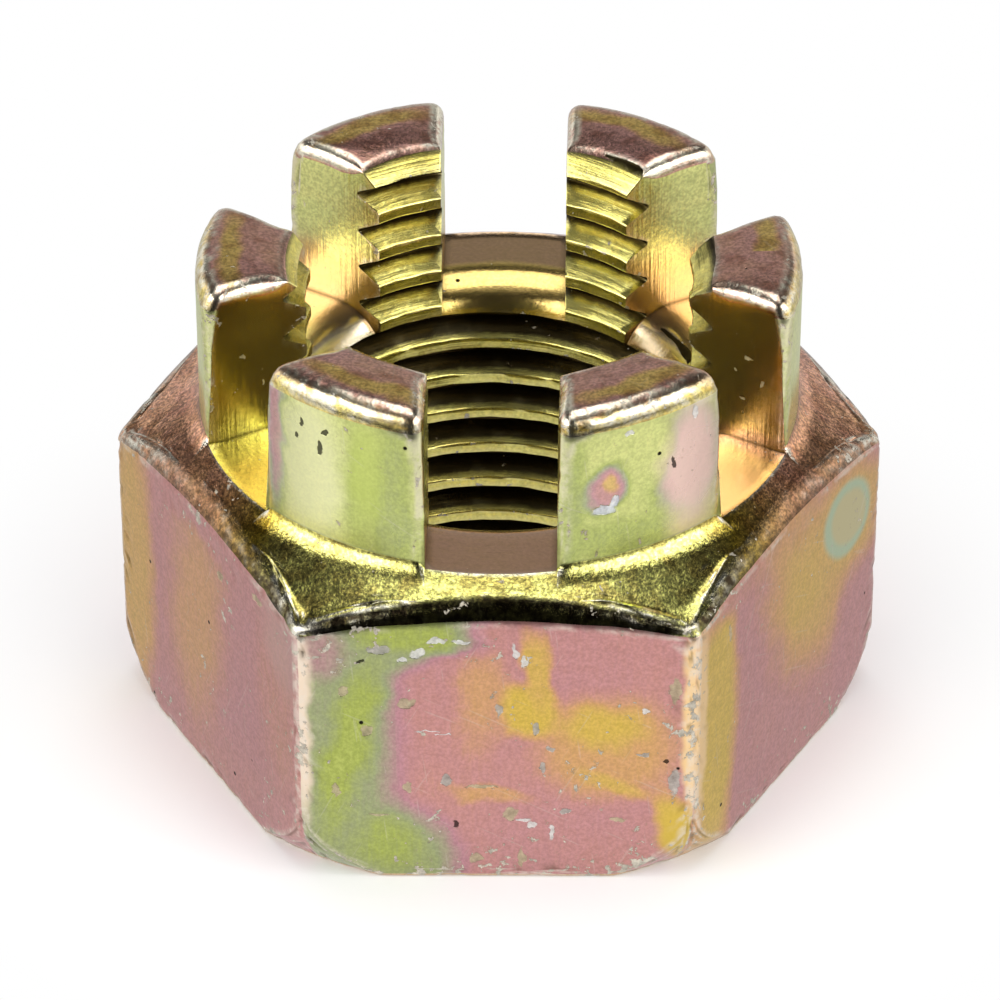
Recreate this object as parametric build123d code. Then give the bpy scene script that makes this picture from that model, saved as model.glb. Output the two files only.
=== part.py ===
from build123d import *

import os
from math import cos, hypot, radians, sqrt, tan

# Castle nut for an M12 x 1.25 bolt: a forged hexagon, and a turned crown that six slots divide into merlons.
# It stands on its bearing face. The origin is the centre of that face, and the crown points up +Z.

os.makedirs("parts", exist_ok=True)

# Hexagon, in millimetres and degrees. The foot is the rounded lower end of each upright corner.
side_count = 6
across_flats = 19.0
corner_height = 8.4
corner_radius = 0.5
top_cone_angle = 30.0
shoulder_radius = 0.55
foot_height = 2.7
foot_radius = 4.1

# Crown
nut_height = 14.83
crown_diameter = 17.0
rim_radius = 0.6

# Slots for the split pin. Their floors roll over a lip into the bore.
slot_count = 6
slot_width = 3.6
slot_floor = 9.8
lip_radius = 1.45
merlon_edge_radius = 0.3

# The crown sits a little askew: its slots are turned by this much from the middles of the flats.
slot_clocking = -1.2

# The inner part of the crown's top slopes down towards the bore.
dish_diameter = 14.0
dish_angle = 11.0

# Bore, at the crests of the thread, with a countersink at each end
bore_diameter = 10.9
top_countersink_diameter = 12.1
top_countersink_angle = 45.0
foot_countersink_diameter = 12.6
foot_countersink_angle = 45.0

# Worked out from the sizes above. The first corner points along +X.
flat_middle_angle = 180 / side_count
corner_reach = across_flats / 2 / cos(radians(flat_middle_angle))
bearing_radius = corner_reach - foot_radius + sqrt(foot_radius**2 - foot_height**2)
crown_radius = crown_diameter / 2
crown_base = corner_height + (corner_reach - crown_radius) * tan(radians(top_cone_angle))
dish_radius = dish_diameter / 2
bore_radius = bore_diameter / 2
top_mouth_radius = top_countersink_diameter / 2
top_mouth_height = nut_height - (dish_radius - top_mouth_radius) * tan(radians(dish_angle))
top_sink_depth = (top_mouth_radius - bore_radius) * tan(radians(top_countersink_angle))
foot_mouth_radius = foot_countersink_diameter / 2
foot_sink_depth = (foot_mouth_radius - bore_radius) * tan(radians(foot_countersink_angle))


def turned(outline):
    """The solid that a closed outline of (radius, height) sweeps in one turn round the axis.

    Its seam lies over the middle of a flat, where a slot takes it away.
    """
    return Rot(Z=flat_middle_angle) * revolve(Plane.XZ * make_face(outline), Axis.Z)


def hexagon():
    """Six flats under a shallow cone, with eased corners that round off at the foot."""
    outline = RadiusArc((bearing_radius, 0), (corner_reach, foot_height), -foot_radius)
    outline += Polyline(
        (corner_reach, foot_height),
        (corner_reach, corner_height),
        (crown_radius, crown_base),
        (0, crown_base),
        (0, 0),
        (bearing_radius, 0),
    )
    prism = extrude(RegularPolygon(corner_reach, side_count), crown_base)
    prism = fillet(prism.edges().filter_by(Axis.Z), corner_radius)
    body = prism & turned(outline)

    # The shoulder is where the cone comes down to the flats and to the eased corners.
    waist = (foot_height + corner_height) / 2
    curved = [e for e in body.edges() if e.geom_type not in (GeomType.LINE, GeomType.CIRCLE)]
    return fillet([e for e in curved if e.center().Z > waist], shoulder_radius)


def crown():
    """A plain round crown with a rounded rim, from the foot of the nut to its top."""
    rim_start = (crown_radius, nut_height - rim_radius)
    rim_end = (crown_radius - rim_radius, nut_height)
    outline = RadiusArc(rim_start, rim_end, -rim_radius)
    outline += Polyline(rim_end, (0, nut_height), (0, 0), (crown_radius, 0), rim_start)
    return turned(outline)


def bore():
    """What the drill, the two countersinks and the dished top take away."""
    return turned(
        Polyline(
            (0, 0),
            (foot_mouth_radius, 0),
            (bore_radius, foot_sink_depth),
            (bore_radius, top_mouth_height - top_sink_depth),
            (top_mouth_radius, top_mouth_height),
            (dish_radius, nut_height),
            (0, nut_height),
            (0, 0),
        )
    )


def lip():
    """What the rounded lip takes away all round the bore, just under the slot floors."""
    floor_edge = (bore_radius + lip_radius, slot_floor)
    wall_edge = (bore_radius, slot_floor - lip_radius)
    outline = RadiusArc(floor_edge, wall_edge, -lip_radius)
    outline += Polyline(wall_edge, (0, slot_floor - lip_radius), (0, slot_floor), floor_edge)
    return turned(outline)


def slot():
    """One slot from the axis outwards along +X, with its share of the lip."""
    reach = corner_reach + corner_radius
    above = Box(reach, slot_width, nut_height, align=(Align.MIN, Align.CENTER, Align.MIN))
    below = Box(reach, slot_width, lip_radius, align=(Align.MIN, Align.CENTER, Align.MAX))
    return Pos(Z=slot_floor) * above + (Pos(Z=slot_floor) * below & lip())


def merlon_edges(nut):
    """The edges of each slot wall, from the slot floor up the outside and over the top to the countersink."""
    above_floor = slot_floor + merlon_edge_radius
    planes = nut.faces().filter_by(GeomType.PLANE)
    walls = [f for f in planes if above_floor < f.center().Z < nut_height - rim_radius]
    upper = [e for f in walls for e in f.edges() if e.center().Z > above_floor]
    return [e for e in upper if hypot(e.center().X, e.center().Y) > dish_radius]


nut = hexagon() + crown() - bore()
for number in range(slot_count):
    nut -= Rot(Z=flat_middle_angle + slot_clocking + number * 360 / slot_count) * slot()
nut = fillet(merlon_edges(nut), merlon_edge_radius)
nut.label = "castle_nut"

export_step(nut, "parts/castle_nut.step")
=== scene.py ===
# %% [markdown]
# # A castle nut in yellow zinc
# The real object is one piece of steel. A hot blank is pressed to a hexagon, a round crown is turned on it, six
# slots are milled through the crown, a thread is tapped, and the whole is plated with zinc and dipped in a yellow
# chromate. The film that the dip leaves is so thin that it shows the colours of an oil film.
# This script makes the nut the same way, in the same order, and then lights it.

from math import asin, atan2, copysign, cos, degrees, floor, hypot, pi, radians, sin, sqrt, tan
from types import SimpleNamespace

import bmesh
import bpy
from mathutils import Matrix, Vector, noise


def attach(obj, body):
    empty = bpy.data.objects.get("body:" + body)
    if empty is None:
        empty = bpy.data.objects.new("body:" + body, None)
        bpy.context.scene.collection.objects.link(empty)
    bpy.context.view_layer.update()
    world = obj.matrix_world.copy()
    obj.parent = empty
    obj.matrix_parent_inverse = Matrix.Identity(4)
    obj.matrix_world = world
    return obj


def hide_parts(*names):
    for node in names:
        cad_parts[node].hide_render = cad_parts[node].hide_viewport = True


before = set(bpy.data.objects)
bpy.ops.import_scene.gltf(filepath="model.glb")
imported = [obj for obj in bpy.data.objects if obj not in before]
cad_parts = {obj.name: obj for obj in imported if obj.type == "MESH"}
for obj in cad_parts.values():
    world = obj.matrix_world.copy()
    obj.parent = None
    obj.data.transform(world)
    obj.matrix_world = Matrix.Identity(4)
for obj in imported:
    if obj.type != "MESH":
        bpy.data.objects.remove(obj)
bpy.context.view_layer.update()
mm = 0.001

# %% [markdown]
# ## The blank
# A nut like this could be modelled as a hexagonal prism with Booleans and bevels, but the bevels would meet at
# the corners of the merlons in shapes that no bevel gets right. A spun blank with an even grid of faces is a
# safer start: each face then knows its row in the section and its column round the axis, and a forming step can
# press the grid to any shape and still leave small faces for the dents.
#
# First the sizes, in millimetres and degrees. They are the part's own. Only the shoulder, the crown's foot and the
# merlons' top edges are rounder here than in the part, as they are on the real nut.

# %% Sizes
half_flats = 9.5
corner_height = 8.4
corner_radius = 0.5
cone_angle = 30.0
shoulder_radii = (1.0, 0.35)  # in the middle of a flat and at a corner
foot_height = 2.7
foot_radius = 4.1
bearing_edge = 0.12

nut_height = 14.83
crown_radius = 8.5
rim_radius = 0.6
half_slot = 1.8
slot_floor = 9.8
lip_radius = 1.45
merlon_edge_radius = 0.3
merlon_top_radius = 0.45
crown_foot_width = 0.45
slot_clocking = -1.2
dish_radius = 7.0
dish_angle = 11.0

bore_radius = 5.45
top_mouth_radius = 6.05
foot_mouth_radius = 6.3
blank_bore = 5.0  # smaller than the bore, so that the tap cuts all of it
blank_bore_top = slot_floor - 1.8

corner_reach = half_flats / cos(radians(30))
eased_centre = (half_flats - corner_radius) / cos(radians(30))
eased_from = degrees(atan2(eased_centre * sin(radians(30)), half_flats))
foot_centre = corner_reach - foot_radius
crown_base = corner_height + (corner_reach - crown_radius) * tan(radians(cone_angle))
ring_radius = crown_radius + crown_foot_width
print("corners reach", round(corner_reach, 3), "and the crown's foot is at", round(crown_base, 3))

# %% [markdown]
# The section is a closed loop of rows. It starts in the bore, runs out over the slot floor, down the cone and
# the flat, in under the bearing face and up the bore again. Each stretch of it gets as many rows as its curves
# and its wear need. Round the axis, half a sector goes from a slot's middle over the merlon's rounded edge to the
# merlon's middle.

# %% Rows and columns
floor_rows = 20
lip_rows = 10
crown_foot_rows = 5
stretches = {
    "floor": floor_rows,
    "crown foot": crown_foot_rows,
    "cone": 15,
    "shoulder": 7,
    "flat": 36,
    "foot": 10,
    "edge": 3,
    "bearing": 10,
    "countersink": 4,
    "bore": 8,
}
rows = [(stretch, step / count) for stretch, count in stretches.items() for step in range(count)]

slot_columns = 9
rounding_columns = 5
merlon_columns = 14
wall_end = slot_columns + rounding_columns
half_sector = wall_end + merlon_columns
sector = 2 * half_sector
columns = 6 * sector
print(len(rows), "rows and", columns, "columns")

# %% [markdown]
# ## The hexagon
# One function says how far out the hexagon goes in any direction. It is longest at the corners, where the eased
# edge is a small arc, and there the cone cuts lower, which draws the curved line over each flat.

# %% The hexagon's outline
def between(a, b, share):
    return a + (b - a) * share


def hexagon_reach(turn):
    """How far out the hexagon goes, turn degrees away from the middle of a flat."""
    if turn < eased_from:
        return half_flats / cos(radians(turn))
    away = radians(30 - turn)
    return eased_centre * cos(away) + sqrt(corner_radius**2 - (eased_centre * sin(away)) ** 2)


def foot_reach(reach, height):
    """The corner's reach at a height, rounded off towards the bearing face."""
    drop = max(foot_height - height, 0)
    return min(reach, foot_centre + sqrt(foot_radius**2 - drop**2))


def cone_height(radius):
    return crown_base - (radius - crown_radius) * tan(radians(cone_angle))


print("reach at a flat and at a corner:", hexagon_reach(0), round(hexagon_reach(30), 3))

# %% [markdown]
# The dies press a little steel up along the cone at the corners, which leaves a thin lip before the shoulder.
# Each corner has its own share of it, and it is highest where lip is 1.

# %% The hexagon's section
lip_width = 0.9
lip_height = 0.12
lip_tilt = 14
lowest_foot = 0.32


def lip_rise(lip, near):
    """The height of a corner's lip, where near runs from 0 at its start to 1 at the shoulder."""
    rise = 0.165 * (near - 0.45 + hypot(near - 0.45, 0.1)) - 0.06 * near
    return lip * rise * min(near * 5, 1)


def hexagon_section(stretch, share, reach, lip=0.0):
    """The section's radius and height where the hexagon has that reach. lip is how far a corner's lip is drawn."""
    crease = corner_height + (corner_reach - reach) * tan(radians(cone_angle))
    shoulder_radius = between(*shoulder_radii, (reach - half_flats) / (corner_reach - half_flats))
    tangent = shoulder_radius * tan(radians((90 - cone_angle) / 2))
    steepest = radians(90 - cone_angle + lip_tilt * min(3 * lip, 1))
    if stretch == "cone":
        end = reach - shoulder_radius * (1 - cos(steepest))
        radius = between(ring_radius, end, share)
        near = max(1 - (end - radius) / (lip_width * lip + 0.01), 0)
        return radius, cone_height(radius) + lip_rise(lip, near)
    if stretch == "shoulder":
        lean = between(steepest, 0, share)
        centre = (reach - shoulder_radius, crease - tangent + lip_height * lip * (1 - share))
        return centre[0] + shoulder_radius * cos(lean), centre[1] + shoulder_radius * sin(lean)
    out = max(reach - foot_centre, 0)
    foot_top = max(lowest_foot, foot_height - sqrt(max(foot_radius**2 - out**2, 0)))
    if stretch == "flat":
        return reach, between(crease - tangent, foot_top, share)
    if stretch == "foot":
        height = between(foot_top, bearing_edge, share)
        return foot_reach(reach, height), height
    landing = foot_reach(reach, 0) - bearing_edge
    if stretch == "edge":
        lean = radians(90 * share)
        return between(landing, foot_reach(reach, bearing_edge), cos(lean)), bearing_edge * (1 - sin(lean))
    if stretch == "bearing":
        return between(landing, foot_mouth_radius, share), 0.0
    sink_depth = foot_mouth_radius - blank_bore
    if stretch == "countersink":
        return between(foot_mouth_radius, blank_bore, share), between(0, sink_depth, share)
    return blank_bore, between(sink_depth, blank_bore_top, share)


print("section at a corner, half way down the flat:", hexagon_section("flat", 0.5, hexagon_reach(30)))

# %% [markdown]
# ## The crown
# The merlons are drawn up out of the blank's top by extruding its faces in steps, which leaves a clean grid on
# every wall. Two sections shape them, and a wall's points lie between the two. The lower one is the slot's floor,
# which rolls over a lip into the bore. The upper one is the crown's top: it is countersunk at the bore, rises over
# a shallow dish, is level outside and ends in a rounded rim.

# %% The crown's sections
lip_start = radians(170)
top_arc_rows = 6
top_flat_rows = 4
rim_row = lip_rows + top_flat_rows
dish_ease, mouth_ease = 0.08, 0.16
top_radii = [blank_bore, 5.4, 5.75, 5.87, 5.96, 6.04, 6.12, 6.21, 6.35, 6.65, dish_radius]


def floor_section(row, end):
    """The slot floor's radius and height, from inside the bore out to the radius end."""
    if row == 0:
        return blank_bore, blank_bore_top
    centre = bore_radius + lip_radius
    if row <= lip_rows:
        lean = between(lip_start, radians(90), (row - 1) / (lip_rows - 1))
        return centre + lip_radius * cos(lean), slot_floor - lip_radius + lip_radius * sin(lean)
    return between(centre, end, (row - lip_rows) / (floor_rows - lip_rows)), slot_floor


def rounded_smaller(a, b, ease):
    """The smaller of two heights, with a rounded edge where they cross."""
    gap = max(ease - abs(a - b), 0)
    return min(a, b) - gap * gap / (4 * ease)


def top_height(radius):
    """The crown's top: level outside, dished further in, and countersunk at the bore."""
    slope = tan(radians(dish_angle))
    dish = rounded_smaller(nut_height, nut_height - (dish_radius - radius) * slope, dish_ease)
    mouth = nut_height - (dish_radius - top_mouth_radius) * slope
    return rounded_smaller(dish, mouth - (top_mouth_radius - radius), mouth_ease)


def top_section(row, depth):
    """The crown's top, from inside the bore over the dish and the rim to the outer wall, depth deep."""
    if row <= lip_rows:
        return top_radii[row], top_height(top_radii[row]) - depth
    rim_centre = crown_radius - rim_radius
    if row <= rim_row:
        radius = between(dish_radius, rim_centre, (row - lip_rows) / top_flat_rows)
        return radius, top_height(radius) - depth
    lean = radians(90 * (row - rim_row) / top_arc_rows)
    arc = rim_radius - depth
    return rim_centre + arc * sin(lean), nut_height - rim_radius + arc * cos(lean)


print("the crown's top at the bore, in the dish and outside:", [round(top_height(r), 2) for r in (5.6, 6.6, 7.8)])

# %% [markdown]
# A merlon's upright edges are rounded. The rounding is a few columns wide, grows towards the top and fades out
# over the dish, where the cutter left the edge sharp. The tops also fall away a little towards their ends.

# %% The merlons' edges
sharp_edge = 0.05
fade_from_row, fade_rows = 4, 5
end_drop = 0.05


def rounding(row, rise):
    """The radius of the merlon's rounded edge."""
    share = min(max((row - fade_from_row) / fade_rows, 0), 1)
    full = between(merlon_edge_radius, merlon_top_radius, max(rise * 4 - 3, 0))
    return between(sharp_edge, full, share)


def crown_turn(step, radius, edge):
    """The angle between a slot's middle and the column that is so many steps away from it."""
    if step <= slot_columns:
        return degrees(asin(half_slot * step / slot_columns / radius))
    if step <= wall_end:
        lean = radians(90 * (wall_end - step) / rounding_columns)
        return degrees(asin((half_slot + edge * (1 - sin(lean))) / radius))
    start = degrees(asin((half_slot + edge) / radius))
    return between(start, 30, (step - wall_end) / merlon_columns)


def edge_depth(step, edge):
    """How far the rounded edge lies below the merlon's surface in that column."""
    share = (wall_end - step) / rounding_columns
    return edge * (1 - cos(radians(90 * min(max(share, 0), 1))))


def dome(step):
    """How far the merlon's top has fallen away in that column."""
    away = max(half_sector - step, 0) / merlon_columns
    return end_drop * min(away, 1) ** 3


print("a slot's wall is", round(crown_turn(slot_columns, crown_radius, 0.3), 2), "degrees from its middle")

# %% [markdown]
# Between the crown and the cone lies a concave rounding, the crown's foot. It runs out at the slots, where the
# wall is cut away. Further down the columns are closer together at the eased corners.

# %% The crown's foot
foot_arc = [(0, 0.485), (0.018, 0.42), (0.08, 0.327), (0.187, 0.212), (0.32, 0.092)]
foot_follows = (1, 0.6, 0, 0, 0)
corner_columns = 4


def crown_foot(step, share, depth):
    """The radius and height of the crown's foot, which follows the depth of the merlon's edge at its top."""
    number = round(share * crown_foot_rows)
    merlon = min(max((step - slot_columns) / rounding_columns, 0), 1)
    out, up = foot_arc[number]
    at_merlon = out - depth * foot_follows[number], up
    flat = (ring_radius - crown_radius) * share
    at_slot = flat, cone_height(crown_radius + flat) - cone_height(ring_radius) + 0.02 * (1 - share)
    out, up = (between(at_slot[i], at_merlon[i], merlon) for i in (0, 1))
    return crown_radius + out, cone_height(ring_radius) + up


def hexagon_turn(step):
    """The angle of a column on the hexagon, away from the middle of a flat."""
    fine = half_sector - corner_columns
    if step <= fine:
        return eased_from * step / fine
    return between(eased_from, 30, (step - fine) / corner_columns)


print("columns on the hexagon:", [round(hexagon_turn(step), 1) for step in range(0, half_sector + 1, 7)])

# %% [markdown]
# ## Every vertex has its place
# Now a vertex can be told where it belongs from its row, its column and its level. Level 0 is the blank, and the
# highest level is the crown's top. The slots are turned a little from the middles of the flats, so the columns
# shift from the one angle to the other down the cone and again in the bore.

# %% The place of a vertex
levels = 17
first_rise = 0.018
corner_lips = {300: 1.0, 240: 0.8, 180: 0.5, 0: 0.5, 60: 0.6, 120: 0.4}
lip_from, lip_full = 14, 28


def crown_place(row, share, step, level):
    """The radius, the height and the turn from the slot's middle for a vertex of the crown or its foot."""
    on_merlon = step >= slot_columns
    if row > floor_rows:
        depth = edge_depth(step, merlon_edge_radius) if on_merlon else 0
        radius, height = crown_foot(step, share, depth)
        return radius, height, crown_turn(step, radius, merlon_edge_radius)
    rise = between(first_rise, 1, (level - 1) / (levels - 1)) if level else 0
    edge = rounding(row, rise)
    depth = edge_depth(step, edge)
    if row == floor_rows:
        low = crown_foot(step, 0, depth if on_merlon else 0)
    else:
        low = floor_section(row, crown_radius - (merlon_edge_radius if on_merlon else 0))
    high = top_section(row, depth + (dome(step) if row < floor_rows else 0))
    radius, height = between(low[0], high[0], rise), between(low[1], high[1], rise)
    return radius, height, crown_turn(step, radius, edge)


def place_of(row, column, level):
    """The radius, the angle and the height of the vertex of that row, column and level."""
    stretch, share = rows[row]
    middle = 30 + 60 * (column // sector)
    offset = column % sector - half_sector
    step = abs(offset)
    if stretch in ("floor", "crown foot"):
        radius, height, turn = crown_place(row, share, step, level)
        return radius, middle + slot_clocking + copysign(turn, offset), height
    outer = hexagon_turn(step)
    corner = (middle + copysign(30, offset)) % 360
    lip = corner_lips[round(corner)] * min(max((outer - lip_from) / (lip_full - lip_from), 0), 1)
    radius, height = hexagon_section(stretch, share, hexagon_reach(outer), lip)
    angle = middle + copysign(outer, offset)
    turn = crown_turn(step, max(radius, blank_bore), merlon_edge_radius)
    inner = middle + slot_clocking + copysign(turn, offset)
    if stretch == "cone":
        return radius, between(inner, angle, share), height
    if stretch in ("countersink", "bore"):
        done = share * 0.5 + (0.5 if stretch == "bore" else 0)
        return radius, between(angle, inner, done), height
    return radius, angle, height


print("the first vertex belongs at", place_of(0, half_sector, 0))

# %% [markdown]
# ## Spin and extrude
# The spin takes the section once round the axis. Each vertex carries its row and level in integer layers, which
# the operators copy along, and finds its column from its angle.

# %% Spin the blank
form = bmesh.new()
row_layer = form.verts.layers.int.new("row")
level_layer = form.verts.layers.int.new("level")
column_layer = form.verts.layers.int.new("column")


def step_of(vertex):
    """How many columns a vertex is away from the middle of its slot."""
    return abs(vertex[column_layer] % sector - half_sector)


loop = []
for number in range(len(rows)):
    radius, _, height = place_of(number, half_sector, 0)
    vertex = form.verts.new((radius * mm, 0, height * mm))
    vertex[row_layer] = number
    loop.append(vertex)
section_edges = [form.edges.new((a, b)) for a, b in zip(loop, loop[1:] + loop[:1])]
bmesh.ops.spin(
    form,
    geom=loop + section_edges,
    cent=(0, 0, 0),
    axis=(0, 0, 1),
    dvec=(0, 0, 0),
    angle=2 * pi,
    steps=columns,
    use_merge=True,
    use_normal_flip=False,
    use_duplicate=False,
)
for vertex in form.verts:
    angle = atan2(vertex.co.y, vertex.co.x) / (2 * pi) * columns
    vertex[column_layer] = round(angle) % columns
print("blank:", len(form.faces), "faces")

# %% [markdown]
# The merlons rise level by level out of the blank's top. The new faces stay where they are for the moment,
# because the forming step afterwards gives every vertex its place at once.

# %% Draw the merlons up and form the nut
def on_merlon(face):
    """True for a face of the blank's top that a merlon rises from."""
    top = all(v[row_layer] <= floor_rows for v in face.verts)
    return top and min(step_of(v) for v in face.verts) >= slot_columns


rising = [f for f in form.faces if on_merlon(f)]
for level in range(1, levels + 1):
    drawn = bmesh.ops.extrude_face_region(form, geom=rising + list({e for f in rising for e in f.edges}))
    rising = [g for g in drawn["geom"] if isinstance(g, bmesh.types.BMFace)]
    for vertex in {v for f in rising for v in f.verts}:
        vertex[level_layer] = level

for vertex in form.verts:
    radius, angle, height = place_of(vertex[row_layer], vertex[column_layer], vertex[level_layer])
    turn = radians(angle)
    vertex.co = Vector((radius * cos(turn), radius * sin(turn), height)) * mm
bmesh.ops.recalc_face_normals(form, faces=form.faces)
form.normal_update()
print(len(form.faces), "faces, closed:", all(e.is_manifold for e in form.edges))

# %% [markdown]
# No forged nut is as even as that. The hot skin is pebbled, the flats are a little wavy, and the corners have been
# knocked. So each vertex moves along its normal by a few hundredths of a millimetre of noise, and only inwards
# where the nut's size is measured. Each noise is read at its own offset, so that the dents don't repeat each
# other. On the crown's top it is slow, because a fast one would show as streaks between the columns.

# %% Unevenness and dents
near_corner, far_from_flat = 6, 16


def dent_at(vertex):
    """How far a vertex moves along its normal, in millimetres."""
    spot = vertex.co / mm
    row, level = vertex[row_layer], vertex[level_layer]
    stretch, share = rows[row]
    step = step_of(vertex)
    broad = noise.noise(spot * 0.8)
    knocks = max(noise.noise(spot * 3.0 + Vector((7, 3, 1))) - 0.10, 0)
    small = noise.noise(spot * 3.1 + Vector((1, 9, 4)))
    if stretch in ("floor", "crown foot") and level:
        if level == levels:
            wave = noise.noise(spot * 1.1 + Vector((2, 5, 8)))
            return -0.010 * (wave + 0.6) - 0.05 * knocks * (row > rim_row)
        upright = row > floor_rows - 2 and step < wall_end
        return -0.006 * (small + 0.6) - 0.07 * knocks * upright
    if stretch in ("cone", "shoulder"):
        low = stretch == "shoulder" or share > 0.8
        return 0.016 * broad + 0.010 * small - 0.12 * knocks * low * (step > far_from_flat)
    if stretch in ("flat", "foot", "edge"):
        at_corner = step > half_sector - near_corner
        ends = stretch != "flat" or share < 0.08
        return -0.010 * abs(broad) - (0.10 * at_corner + 0.07 * ends) * knocks
    return 0.0


moves = [(vertex, vertex.normal * dent_at(vertex) * mm) for vertex in form.verts]
for vertex, move in moves:
    vertex.co += move
form.normal_update()
print("the deepest dent is", round(max(move.length for _, move in moves) / mm, 3), "mm")

# %% [markdown]
# Each face is given its finish by the stretch of the section that it lies in. The finishes come later, in this
# order.

# %% Which finish goes where
finishes = ["flats", "forged_top", "crown_wall", "crown_top", "slot_walls", "slot_floors", "thread", "underside"]
countersink_rows = 4


def finish_of(face):
    """The finish that a face of the blank gets. The last row and the first meet in the bore."""
    face_rows = [v[row_layer] for v in face.verts]
    face_levels = [v[level_layer] for v in face.verts]
    number = min(face_rows)
    if max(face_rows) - number > 1:
        return "underside"
    stretch, share = rows[number]
    if stretch in ("floor", "crown foot") and max(face_levels):
        if max(step_of(v) for v in face.verts) == slot_columns:
            return "slot_walls"
        if min(face_levels) < levels:
            return "crown_wall"
        return "thread" if number < countersink_rows else "crown_top"
    if stretch == "floor":
        return "slot_floors"
    if stretch in ("crown foot", "cone") or (stretch == "shoulder" and share < 0.7):
        return "forged_top"
    return "flats" if stretch in ("shoulder", "flat", "foot") else "underside"


for face in form.faces:
    face.material_index = finishes.index(finish_of(face))
    face.smooth = True
print({name: sum(f.material_index == i for f in form.faces) for i, name in enumerate(finishes)})

# %% [markdown]
# ## The thread
# The thread is cut as the shop cuts it, with a tap. The tap is one turn of the thread's profile, spun with a rise
# of one pitch per turn. A screw modifier could do the same, but the vertices are wanted at once: outside the nut
# the teeth run down to a plain shank, so that the tap can be cut off flat and capped. A Boolean needs a closed
# cutter.

# %% The tap
pitch = 1.25
root_radius = 6.13
crest_at = 12.47 % pitch  # where the picture shows a crest
turn_steps = 120
first_turn = -3
turns = 17

# The tooth's radius and rise over one pitch: a flat crest, a flank, the narrow root and the other flank
tooth = [
    (bore_radius, 0.0),
    (bore_radius, 0.20),
    (bore_radius, 0.30),
    (bore_radius + 0.03, 0.345),
    (root_radius - 0.04, 0.70),
    (root_radius, 0.74),
    (root_radius, 0.82),
    (root_radius - 0.04, 0.86),
    (bore_radius + 0.03, 1.215),
    (bore_radius, pitch),
]
tap = bmesh.new()
profile = [tap.verts.new((r * mm, 0, (h + crest_at + first_turn * pitch) * mm)) for r, h in tooth]
profile_edges = [tap.edges.new(pair) for pair in zip(profile, profile[1:])]
bmesh.ops.spin(
    tap,
    geom=profile + profile_edges,
    cent=(0, 0, 0),
    axis=(0, 0, 1),
    dvec=(0, 0, pitch * mm / turn_steps),
    angle=2 * pi * turns,
    steps=turns * turn_steps,
    use_merge=False,
    use_normal_flip=False,
    use_duplicate=False,
)
bmesh.ops.remove_doubles(tap, verts=tap.verts, dist=0.004 * mm)
print("tap:", len(tap.faces), "faces in", turns, "turns")

# %% [markdown]
# A tap tears the metal a little, so the flanks waver by a few hundredths of a millimetre. Then the ends are cut
# off and capped.

# %% Wavering flanks and flat ends
teeth_bottom, teeth_top, run_out = -0.9, 15.9, 0.8
tear_out, tear_up = 0.035, 0.03
for vertex in tap.verts:
    radius = hypot(vertex.co.x, vertex.co.y)
    height = vertex.co.z / mm
    beyond = max(teeth_bottom - height, height - teeth_top, 0)
    depth = (radius / mm - bore_radius) * max(1 - beyond / run_out, 0)
    tear = noise.noise(vertex.co / mm * 2.2) * tear_out
    scale = (bore_radius + depth + tear) * mm / radius
    vertex.co.x *= scale
    vertex.co.y *= scale
    vertex.co.z += noise.noise(vertex.co / mm * 1.7 + Vector((5, 0, 2))) * tear_up * mm
for height, side in ((-2.0, -1), (17.0, 1)):
    bmesh.ops.bisect_plane(
        tap,
        geom=tap.verts[:] + tap.edges[:] + tap.faces[:],
        dist=0.0001 * mm,
        plane_co=(0, 0, height * mm),
        plane_no=(0, 0, side),
        clear_outer=True,
    )
bmesh.ops.holes_fill(tap, edges=[e for e in tap.edges if e.is_boundary], sides=0)
bmesh.ops.triangulate(tap, faces=[f for f in tap.faces if len(f.verts) > 4])
bmesh.ops.recalc_face_normals(tap, faces=tap.faces)
for face in tap.faces:
    face.material_index = finishes.index("thread")
    face.smooth = True
print("tap:", len(tap.faces), "faces, closed:", all(e.is_manifold for e in tap.edges))

# %% [markdown]
# The Boolean takes the tap out of the nut. The exact solver is slower than the fast one, but it keeps every thin
# sliver closed. Faces that the tap has cut bring the thread's finish along.

# %% Cut the thread
def to_object(mesh_in_work, name):
    """A new object in the scene, from a mesh in work."""
    mesh = bpy.data.meshes.new(name)
    mesh_in_work.to_mesh(mesh)
    mesh_in_work.free()
    made = bpy.data.objects.new(name, mesh)
    bpy.context.scene.collection.objects.link(made)
    return made


nut = to_object(form, "threaded_nut")
cutter = to_object(tap, "tap")
for thing in (nut, cutter):
    for name in finishes:
        thing.data.materials.append(bpy.data.materials.get(name) or bpy.data.materials.new(name))
cut = nut.modifiers.new("cut", "BOOLEAN")
cut.operation = "DIFFERENCE"
cut.solver = "EXACT"
cut.object = cutter
bpy.context.view_layer.update()
threaded = bpy.data.meshes.new_from_object(nut.evaluated_get(bpy.context.evaluated_depsgraph_get()))
nut.modifiers.clear()
nut.data = threaded
bpy.data.objects.remove(cutter)
print("threaded:", len(threaded.polygons), "faces")

# %% [markdown]
# ## Into the frame
# The finished mesh takes the place of the plain part and rides on its one body. Edges over 35 degrees stay sharp,
# and normals weighted by face area keep the large faces calm beside the small ones of the roundings.

# %% Place the nut in the frame
threaded.set_sharp_from_angle(angle=radians(35))
weighted = nut.modifiers.new("weighted", "WEIGHTED_NORMAL")
weighted.keep_sharp = True
weighted.weight = 50
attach(nut, "root")
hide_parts("castle_nut")

check = bmesh.new()
check.from_mesh(threaded)
print("open edges:", sum(not e.is_manifold for e in check.edges))
print("volume in cubic millimetres:", round(check.calc_volume() / mm**3, 1))
check.free()

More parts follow.
